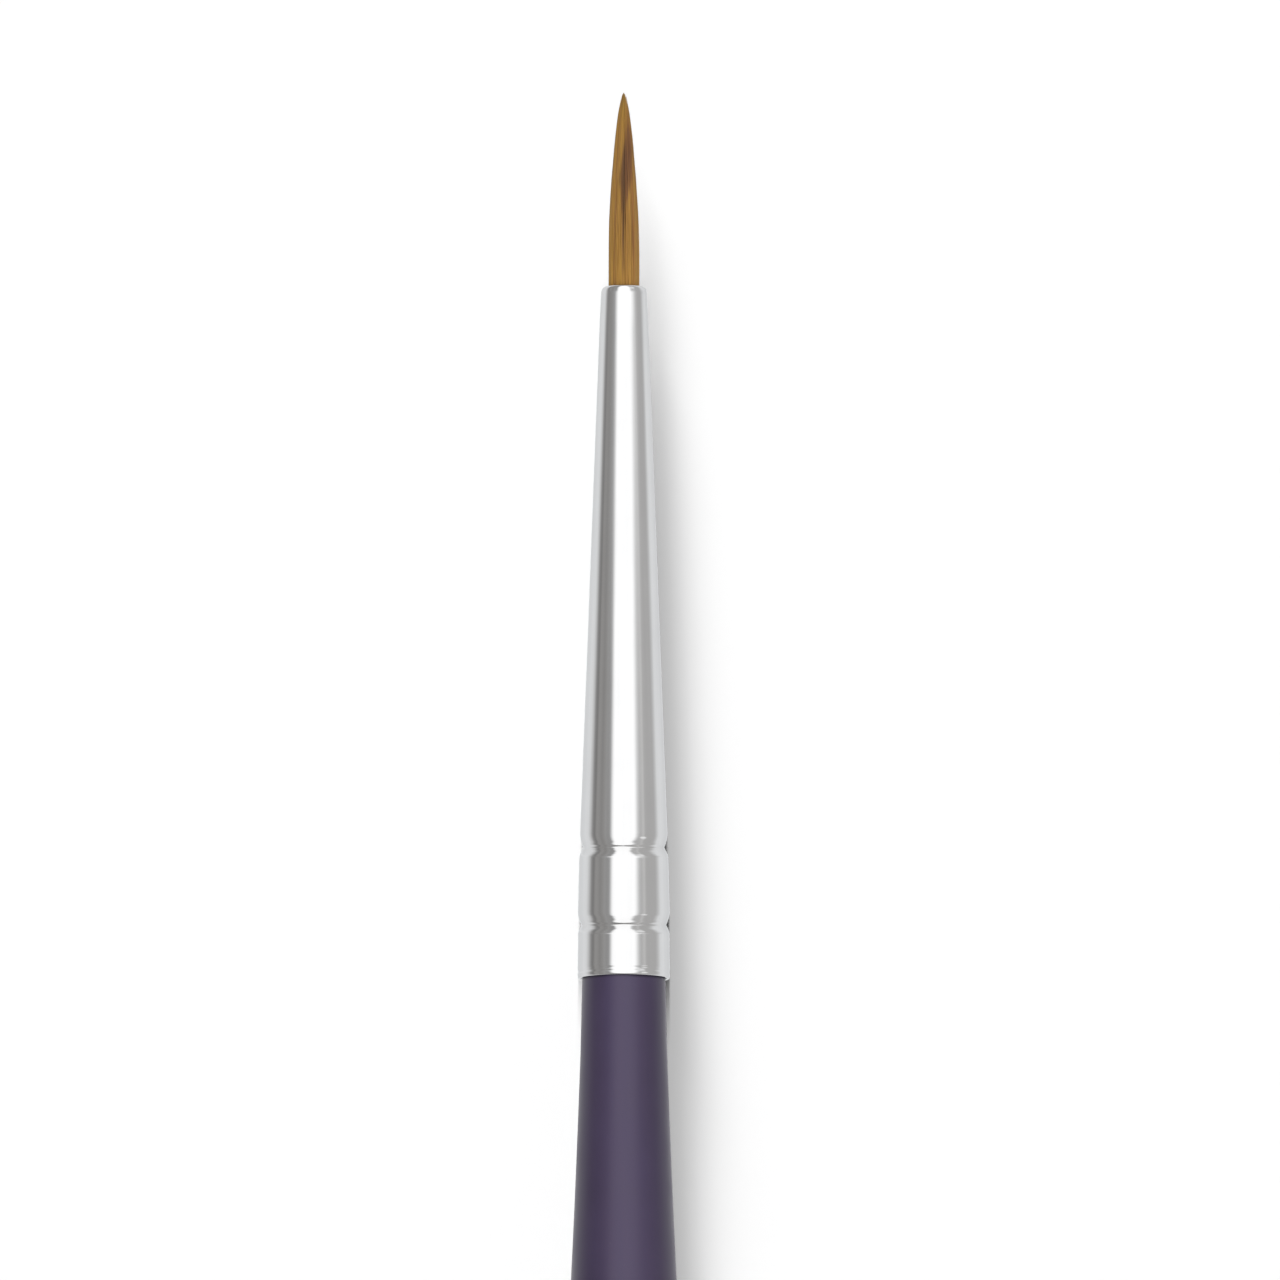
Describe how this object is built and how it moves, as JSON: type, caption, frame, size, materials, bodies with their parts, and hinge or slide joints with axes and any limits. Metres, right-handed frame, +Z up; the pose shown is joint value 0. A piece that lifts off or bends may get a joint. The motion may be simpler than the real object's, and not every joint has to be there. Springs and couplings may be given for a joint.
{
  "type": "fine detail brush",
  "caption": "Round hair tuft drawn to a fine point, held in a long seamless metal cone with rolled crimps on a slim lacquered wood handle.",
  "frame": {"origin": "on the surface that the brush lies on, below the middle of its length", "axes": "+Y along the brush towards the tip of the hair, +Z up, +X to the right seen from above with the tip pointing away"},
  "size_m": [0.0062, 0.18, 0.0062],
  "materials": {
    "nickel": "gloss",
    "plum_lacquer": "satin",
    "timber": "matte",
    "wood_glue": "satin",
    "cement": "satin",
    "thread": "matte",
    "hair": "satin",
    "hair_belly": "satin"
  },
  "bodies": {
    "handle": {"ferrule": "nickel", "root_cement": "cement", "hair_roots": "hair_belly", "binding_thread": "thread", "handle_glue": "wood_glue", "handle_core": "timber", "handle_lacquer": "plum_lacquer"},
    "tuft": {"tuft_belly": "hair_belly", "hair_lock_01": "hair", "hair_lock_02": "hair", "hair_lock_03": "hair", "hair_lock_04": "hair", "hair_lock_05": "hair", "hair_lock_06": "hair", "hair_lock_07": "hair", "hair_lock_08": "hair", "hair_lock_09": "hair", "hair_lock_10": "hair", "hair_lock_11": "hair", "hair_lock_12": "hair", "hair_lock_13": "hair", "hair_lock_14": "hair", "hair_lock_15": "hair"}
  },
  "joints": [
    {"name": "tuft_flex", "type": "hinge", "parent": "handle", "child": "tuft", "pos_m": [0, 0.0811, 0.00309], "axis": [0, 0, 1], "range_deg": [-45, 45], "stiffness_Nm_per_rad": 0.0002}
  ]
}
